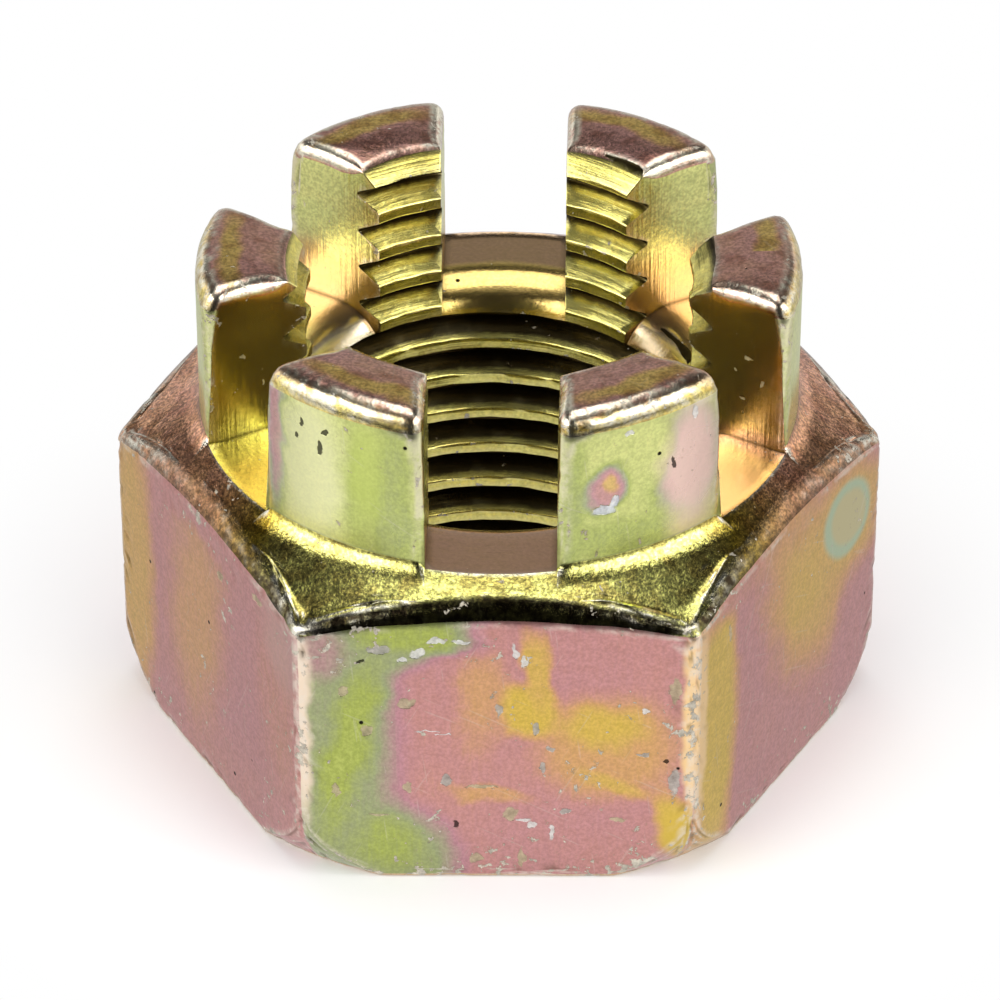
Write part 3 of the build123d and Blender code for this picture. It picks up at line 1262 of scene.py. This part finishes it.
# %% Chips on the flats
flat_chips = [
    ((front - 2.2, 8.0), (3.0, 0.9), 0, 0.3, 0, 0.45),
    ((front + 1.0, 3.6), (2.2, 2.4), 30, 0.3, 0, 0.25),
    ((front - 1.5, 1.5), (2.4, 1.4), 0, 0.3, 0, 0.20),
    ((front + 5.0, 5.0), (0.6, 3.0), 0, 0.3, 0, 0.55),
    ((right_hand - 4.4, 8.6), (2.2, 1.1), -10, 0.3, 0, 0.45),
    ((right_hand - 5.2, 4.0), (0.5, 4.0), 0, 0.3, 0, 0.40),
    ((left_hand + 2.4, 8.4), (3.2, 1.0), 0, 0.3, 0, 0.40),
    ((left_hand + 1.5, 4.5), (3.0, 3.0), 0, 0.5, 0, 0.15),
    ((0, 0.4), (anywhere, 0.6), 0, 0.4, 1, 0.5),
]
white_metal, grey_metal = (0.82, 0.80, 0.76), (0.52, 0.49, 0.44)
beige_metal, black_pit = (0.55, 0.46, 0.30), (0.015, 0.012, 0.01)
flat_marks = [
    (white_metal, [
        (front - 2.6, 7.65, 0.12, 0.10), (front - 2.2, 7.9, 0.18, 0.18), (front - 1.7, 8.3, 0.26, 0.08),
        (front - 1.0, 8.3, 0.22, 0.08), (front + 0.5, 7.95, 0.08, 0.25), (front + 0.72, 7.6, 0.08, 0.22),
        (front + 4.1, 5.9, 0.10, 0.10), (front + 1.0, 1.9, 0.16, 0.16), (front + 1.5, 1.6, 0.08, 0.26),
        (front - 1.9, 5.2, 0.35, 0.02), (front - 1.5, 5.1, 0.2, 0.02), (front + 0.75, 2.1, 0.2, 0.05),
    ]),
    (grey_metal, [
        (front - 3.2, 8.0, 0.28, 0.12), (front + 0.05, 5.9, 0.08, 0.22), (front + 1.1, 5.3, 0.08, 0.18),
        (front + 1.5, 4.6, 0.12, 0.08), (front + 1.25, 3.9, 0.08, 0.20), (front - 1.4, 3.5, 0.10, 0.16),
        (front + 4.0, 4.4, 0.22, 0.05), (front + 4.9, 3.4, 0.12, 0.45), (front + 1.9, 2.4, 0.16, 0.10),
    ]),
    (beige_metal, [
        (front - 2.5, 3.2, 0.14, 0.14), (front + 0.36, 2.3, 0.18, 0.22), (front - 0.6, 0.7, 0.20, 0.16),
        (front + 0.7, 0.7, 0.08, 0.32), (front + 3.4, 2.1, 0.20, 0.09), (front - 4.5, 3.1, 0.09, 0.24),
        (front - 4.2, 6.6, 0.14, 0.14), (front - 2.5, 6.15, 0.20, 0.16), (front - 3.6, 5.2, 0.16, 0.18),
        (front - 3.3, 2.2, 0.28, 0.05), (front - 0.4, 3.25, 0.4, 0.05), (front + 4.9, 6.6, 0.12, 0.45),
        (left_hand + 1.0, 7.6, 0.2, 0.12), (left_hand + 3.2, 8.2, 0.3, 0.1), (right_hand - 3.6, 7.4, 0.08, 0.3),
    ]),
    (black_pit, [
        (front - 3.74, 7.55, 0.14, 0.05), (front + 4.66, 4.16, 0.07, 0.07), (front - 1.1, 1.9, 0.07, 0.10),
    ]),
]
finish_material(
    "flats", 0.34, cloud=0.07, cloud_size=0.22, back_drift=16.0, patches=flat_patches,
    veil=(0.56, 0.44, 0.36), veil_amount=0.06, mottle=0.45, tints=flat_tints_and_highlights,
    roughness=0.33, lines=0.0012, line_size=(9.0, 0.25, 9.0),
    scratch=0.15, chip=0.41, chip_zones=flat_chips, pit=0.15, wear_and_highlight=0.6, marks=flat_marks,
)

# %% [markdown]
# ## The forged top
# The cone and the band at the crown's foot are glossier than the flats, under a crisp grit. They are lime yellow
# in front and turn rosy towards the sides, and the shoulder under them gets a painted dark reflection, almost black.

# %% The forged top
finish_material(
    "forged_top", 0.87, cloud=0.06, cloud_size=0.5, fading=(5.5, 9.5, 1.25), mottle=0.7, grit=0.38,
    roughness=0.13, grain=0.009, grain_size=1.6, scratch=0.0, chip=0.34, pit=0.2,
    wear_and_highlight=1.0, worn_and_highlight_colour=(0.92, 0.88, 0.74), shoulder=0.9, dirt_and_shade=0.2,
)

# %% [markdown]
# ## The crown
# The merlons' outsides are turned, with faint lines. The left one in front goes from pink over cream to lime, and
# the right one is green with a pink cloud, a chip of blue-grey zinc and a pink end. The tops are rose to mauve,
# with a yellow rim and an olive oval in their middle.

# %% The merlons' outsides
crown_patches = [
    ((front - 1.0, 12.4), (0.9, 2.4), 0, 0.5, 0, 0.80),
    ((front + 0.7, 12.0), (0.5, 2.4), 0, 0.6, 0, 0.69),
    ((front + 1.7, 11.8), (0.6, 3.2), 0, 0.5, 0, 0.66),
    ((front - 2.1, 13.0), (0.35, 2.4), 0, 0.6, 0, 0.38),
    ((right_hand - 2.1, 11.6), (0.3, 2.6), 0, 0.6, 0, 0.66),
    ((right_hand - 1.2, 12.3), (0.55, 0.7), 20, 0.5, 0, 0.36),
    ((right_hand - 1.1, 12.4), (0.22, 0.3), 0, 0.5, 0, 0.12),
    ((right_hand + 1.3, 12.4), (1.1, 1.8), 0, 0.5, 0, 0.42),
    ((right_hand + 0.2, 13.0), (0.6, 1.0), 0, 0.6, 0, 0.80),
    ((right_hand - 0.3, 10.5), (2.4, 0.6), 8, 0.5, 0, 0.68),
]
crown_tints = [
    ((front - 0.9, 12.2), (1.0, 2.4), 0, 0.5, 0, (0.97, 0.95, 0.60), 0.55),
    ((front + 0.9, 12.6), (0.5, 1.6), 0, 0.6, 0, (0.62, 0.72, 0.16), 0.5),
    ((right_hand + 1.5, 12.2), (1.0, 2.2), 0, 0.5, 0, (0.98, 0.72, 0.60), 0.75),
]
blue_zinc = (0.80, 0.83, 0.90)
crown_marks = [
    (black_pit, [
        (front - 1.13, 13.6, 0.06, 0.16), (front - 0.34, 13.55, 0.07, 0.12), (front - 0.50, 13.0, 0.07, 0.20),
        (front - 1.3, 13.1, 0.06, 0.12), (right_hand + 0.83, 12.54, 0.05, 0.18),
    ]),
    (blue_zinc, [(right_hand - 1.32, 11.65, 0.30, 0.14), (right_hand - 1.05, 11.85, 0.14, 0.2)]),
    (white_metal, [(right_hand + 1.54, 13.95, 0.12, 0.18), (right_hand - 0.63, 14.0, 0.14, 0.08)]),
]
finish_material(
    "crown_wall", 0.78, cloud=0.08, cloud_size=0.3, back_drift=12.0, patches=crown_patches,
    veil=(0.96, 0.90, 0.76), veil_amount=0.12, mottle=0.3, tints=crown_tints,
    roughness=0.28, lines=0.0012, line_size=(9.0, 0.3, 9.0),
    scratch=0.15, chip=0.34, pit=0.5, wear_and_highlight=0.5, marks=crown_marks,
)

# %% The merlons' tops
top_patches = [((0, 8.9), (anywhere, 0.62), 0, 0.3, 1, -0.06)]
top_patches += [((number * lap + 0.3, 7.55), (1.9, 0.32), 0, 0.5, 0, 0.06) for number in range(6)]
finish_material(
    "crown_top", 0.31, cloud=0.10, cloud_size=0.4, patches=top_patches, fine_film=0.0,
    veil=(0.55, 0.43, 0.30), veil_amount=0.25, mottle=0.5, grit=0.22,
    roughness=0.20, grain=0.007, grain_size=1.5, scratch=0.1, chip=0.26, pit=0.1,
    wear_and_highlight=1.0, worn_and_highlight_colour=(0.90, 0.84, 0.66),
)

# %% [markdown]
# ## The slots
# The slots are milled, so brush lines run up their walls. The plating is lime at the top of a wall and turns to
# gold and salmon at its foot. The walls beside the front slots get a painted dark reflection: a dark tint stands
# for the bore's dark side, which they mirror. The floors are gold, pink or brown, and each slot has its own tint;
# on the lips of the two back slots it is a pale painted highlight. Small bright flakes on the walls are painted
# glints.

# %% Slot walls
mid_wall = 7.0
back_left_slot, back_right_slot = 2 * lap, 0
wall_patches = [
    ((0, 14.2), (anywhere, 1.0), 0, 0.4, 1, 0.82),
    ((0, 12.3), (anywhere, 0.8), 0, 0.6, 1, 0.80),
    ((0, 10.9), (anywhere, 0.5), 0, 0.7, 1, 0.98),
    ((0, 9.7), (anywhere, 0.6), 0, 0.5, 1, 1.16),
    ((left_hand + mid_wall, 10.0), (4, 1.1), 0, 0.4, 1, 0.86),
]
wall_tints_and_shade = []
# Painted dark reflection: the walls of the slots at left_hand and right_hand are tinted dark brown high up.
for slot in (left_hand, right_hand):
    wall_tints_and_shade.append(((slot + mid_wall, 12.8), (4, 2.3), 0, 0.3, 1, (0.50, 0.36, 0.12), 0.85))
for slot in (back_left_slot, back_right_slot):
    wall_tints_and_shade.append(((slot + mid_wall, 9.6), (4, 1.9), 0, 0.5, 1, (0.54, 0.36, 0.20), 0.8))
# Painted glints: small bright flakes on the walls, treated like chips with a duller gloss.
glint_brass = (0.80, 0.74, 0.50)
wall_glint_marks = [
    (glint_brass, [
        (right_hand + 7.3, 12.6, 0.12, 0.04), (right_hand + 7.7, 11.9, 0.04, 0.08),
        (right_hand + 6.9, 12.1, 0.06, 0.03), (right_hand + 7.1, 11.2, 0.08, 0.03),
        (left_hand + 7.4, 12.4, 0.03, 0.08), (left_hand + 6.8, 11.4, 0.03, 0.07),
        (back_right_slot + 8.1, 11.6, 0.08, 0.06), (back_left_slot + 7.9, 12.7, 0.03, 0.12),
    ]),
]
finish_material(
    "slot_walls", 0.90, cloud=0.07, cloud_size=0.3, patches=wall_patches, veil=(0.84, 0.78, 0.48),
    veil_amount=0.25, grit=0.15, tints=wall_tints_and_shade, roughness=0.25, lines=0.009, line_size=(9.0, 0.3, 9.0),
    scratch=0.0, chip=0.25, pit=0.1, wear_and_highlight=0.8, marks=wall_glint_marks,
)

# %% Slot floors
back_slot = lap
floor_patches = [
    ((front + 7.0, 9.8), (3.0, 3.0), 0, 0.3, 1, 1.25),
    ((left_hand + 7.0, 9.8), (3.0, 3.0), 0, 0.3, 1, 0.89),
    ((back_slot + 7.9, 9.8), (1.0, 3.0), 0, 0.2, 1, 1.22),
    ((back_slot + 6.2, 9.8), (0.6, 3.0), 0, 0.4, 1, 1.06),
    ((right_hand + 7.5, 9.8), (2.5, 3.0), 0, 0.3, 1, 1.17),
]
floor_tints_and_highlights = [
    ((back_slot + 7.9, 9.8), (1.0, 3.0), 0, 0.2, 1, (0.28, 0.20, 0.10), 0.6),
    # Painted highlights: the pale tints on the lips of the back-left and back-right slots.
    ((back_left_slot + 6.5, 9.8), (3.0, 3.0), 0, 0.2, 1, (0.98, 0.86, 0.66), 0.8),
    ((back_right_slot + 6.5, 9.8), (3.0, 3.0), 0, 0.2, 1, (0.94, 0.74, 0.52), 0.8),
    ((right_hand + 7.0, 9.8), (3.0, 3.0), 0, 0.2, 1, (0.86, 0.64, 0.68), 0.85),
    ((front + 7.0, 9.8), (3.0, 3.0), 0, 0.2, 1, (0.40, 0.26, 0.16), 0.5),
]
finish_material(
    "slot_floors", 0.95, cloud=0.10, cloud_size=0.5, patches=floor_patches, veil=(0.72, 0.60, 0.44),
    veil_amount=0.22, tints=floor_tints_and_highlights, roughness=0.18, lines=0.003, line_size=(10.0, 0.35, 0.6),
    scratch=0.0, chip=0.25, pit=0.1, wear_and_highlight=0.3,
)

# %% [markdown]
# ## Thread and underside
# The thread is bright lime and gold on its crests, with fine lines along its turns. The underside stays plain
# gold and is a little scuffed, because the nut turns on it.

# %% Thread and underside
finish_material(
    "thread", 0.91, cloud=0.05, cloud_size=0.3, mottle=0.9, root_shade_radii=(5.82, 6.05), roughness=0.24, lines=0.010,
    line_size=(0.3, 10.0, 0.3), scratch=0.0, chip=0.22, pit=0.0, wear_and_highlight=0.45, worn_and_highlight_colour=(0.90, 0.80, 0.42), dirt_and_shade=0.45,
)
finish_material(
    "underside", 0.20, cloud=0.10, cloud_size=0.2, veil_amount=0.3, roughness=0.3, lines=0.003,
    line_size=(0.3, 1.0, 9.0), scratch=0.2, chip=0.4, pit=0.3,
)

# %% [markdown]
# ## Studio
# Polished metal shows what stands round it, so the studio is made for its reflections. The floor is white paper.
# Further out it glows as white as the background, and near the nut it is plain matt paper, which keeps the shadow.
# Reflections see it white up to a dark edge in front, and a little dimmer beside the nut and behind it.

# %% Floor
paper_white = 0.93
plane = bmesh.new()
bmesh.ops.create_grid(plane, x_segments=1, y_segments=1, size=1.5)
ground = to_object(plane, "ground")
paper = bpy.data.materials.new("paper")
paper.use_nodes = True
tree = paper.node_tree
tree.nodes.clear()
spot = put(tree, "TexCoord").outputs["Object"]
far = ease(tree, length_of(tree, spot), 0.0105, 0.019)
path = put(tree, "LightPath").outputs
forward = parts_of(tree, spot)["Y"]
beside = ease(tree, forward, -0.0125, -0.006, 1.0, 0.68)
mirrored = maths(tree, "MULTIPLY", ease(tree, forward, -0.050, -0.036, 0.02, 1.0), beside)
matt = put(tree, "BsdfDiffuse", {"Color": (paper_white, paper_white, paper_white, 1)})
strength = mix(tree, path["Is Glossy Ray"], 1.0, mirrored)
white = put(tree, "Emission", {"Color": (1, 1, 1, 1), "Strength": strength})
seen = maths(tree, "MULTIPLY", path["Is Camera Ray"], far)
glow = maths(tree, "MAXIMUM", seen, path["Is Glossy Ray"])
both = put(tree, "MixShader", {0: glow, 1: matt.outputs[0], 2: white.outputs[0]})
put(tree, "OutputMaterial", {"Surface": both.outputs[0]})
ground.data.materials.append(paper)
print("the floor reaches", round(max(v.co.x for v in ground.data.vertices), 2), "m out")

# %% [markdown]
# The world is the rest of the studio. For the camera it is white and for matt surfaces an even grey. In
# reflections it is a grey backdrop behind the nut, brighter walls at the sides, the pale table below them and a
# little light straight above, and it stays dark behind the camera.

# %% World
darkest, backdrop_grey, side_wall, pale_table, straight_above = 0.03, 0.42, 1.3, 0.9, 0.36
even_grey = 0.5
world = bpy.data.worlds.new("studio")
bpy.context.scene.world = world
world.use_nodes = True
tree = world.node_tree
tree.nodes.clear()
aim = parts_of(tree, put(tree, "TexCoord").outputs["Generated"])
aside = maths(tree, "ABSOLUTE", aim["X"])
behind = ease(tree, aim["Y"], -0.1, 0.45)
low = ease(tree, aim["Z"], 0.74, 0.64)
middle = ease(tree, aside, 0.56, 0.30, 0.2, 1.0)
backdrop = maths(tree, "MULTIPLY", middle, backdrop_grey)
backdrop = maths(tree, "MULTIPLY", maths(tree, "MULTIPLY", behind, low), backdrop)
sides = maths(tree, "MULTIPLY", ease(tree, aside, 0.64, 0.85), ease(tree, aim["Z"], 0.6, 0.4, 0.0, side_wall))
table = maths(tree, "MULTIPLY", ease(tree, aside, 0.36, 0.48), ease(tree, aim["Z"], 0.27, 0.14, 0.0, pale_table))
zenith = ease(tree, aim["Z"], 0.86, 0.92, darkest, straight_above)
studio = maths(tree, "ADD", maths(tree, "MAXIMUM", sides, table), maths(tree, "ADD", backdrop, zenith))
path = put(tree, "LightPath").outputs
strength = mix(tree, path["Is Diffuse Ray"], studio, even_grey)
strength = mix(tree, path["Is Camera Ray"], strength, 1.0)
sky = put(tree, "Background", {"Color": (1, 1, 1, 1), "Strength": strength})
put(tree, "OutputWorld", {"Surface": sky.outputs[0]})
print("world:", len(tree.nodes), "nodes")

# %% [markdown]
# There are three soft boxes. The large one overhead shows in the front of the cone. The light of the two at the
# front corners comes back from the slot floors and from the foot of the crown.

# %% Soft boxes
def soft_box(name, place, aim_at, width, depth, radiance):
    """A rectangular lamp that looks as bright as radiance says, where 1 is white."""
    lamp = bpy.data.lights.new(name, "AREA")
    lamp.shape = "RECTANGLE"
    lamp.size, lamp.size_y = width, depth
    lamp.energy = radiance * pi * width * depth
    made = bpy.data.objects.new(name, lamp)
    made.location = place
    made.rotation_mode = "QUATERNION"
    made.rotation_quaternion = (Vector(aim_at) - Vector(place)).to_track_quat("-Z", "Y")
    bpy.context.scene.collection.objects.link(made)


lamp_distance = 0.3
side_turn, side_rise = radians(57), radians(36)
soft_box("overhead", (0, 0.0525, lamp_distance), (0, 0.0525, 0), 0.165, 0.229, 2.2)
for side in (-1, 1):
    towards = (side * sin(side_turn) * cos(side_rise), -cos(side_turn) * cos(side_rise), sin(side_rise))
    soft_box("side", Vector(towards) * lamp_distance, (0, 0, 0.01), 0.26, 0.14, 3.7)
print(len(bpy.data.lights), "soft boxes")

# %% [markdown]
# ## Camera
# The camera was fitted to the picture: a long lens from about 17 cm, 35 degrees above the table.

# %% Camera
elevation, azimuth = radians(35.361), radians(0.304)
camera_distance = 165.554 * mm
looked_at = Vector((0, 0, 8.0 * mm))
camera = bpy.data.objects.new("camera", bpy.data.cameras.new("camera"))
bpy.context.scene.collection.objects.link(camera)
bpy.context.scene.camera = camera
back = Vector((sin(azimuth) * cos(elevation), -cos(azimuth) * cos(elevation), sin(elevation)))
right = Vector((cos(azimuth), sin(azimuth), 0))
turn_to = Matrix((right, back.cross(right), back)).transposed()
camera.matrix_world = Matrix.Translation(looked_at + back * camera_distance) @ turn_to.to_4x4()
camera.data.lens = 208.4
camera.data.sensor_width = 36
camera.data.shift_x = 0.00116
camera.data.shift_y = -0.05126
camera.data.clip_start = 0.01
camera.data.clip_end = 10
bpy.context.scene.view_settings.view_transform = "Standard"
print("the camera is at", [round(x, 4) for x in camera.matrix_world.translation])

# %% Finish
bpy.context.view_layer.update()
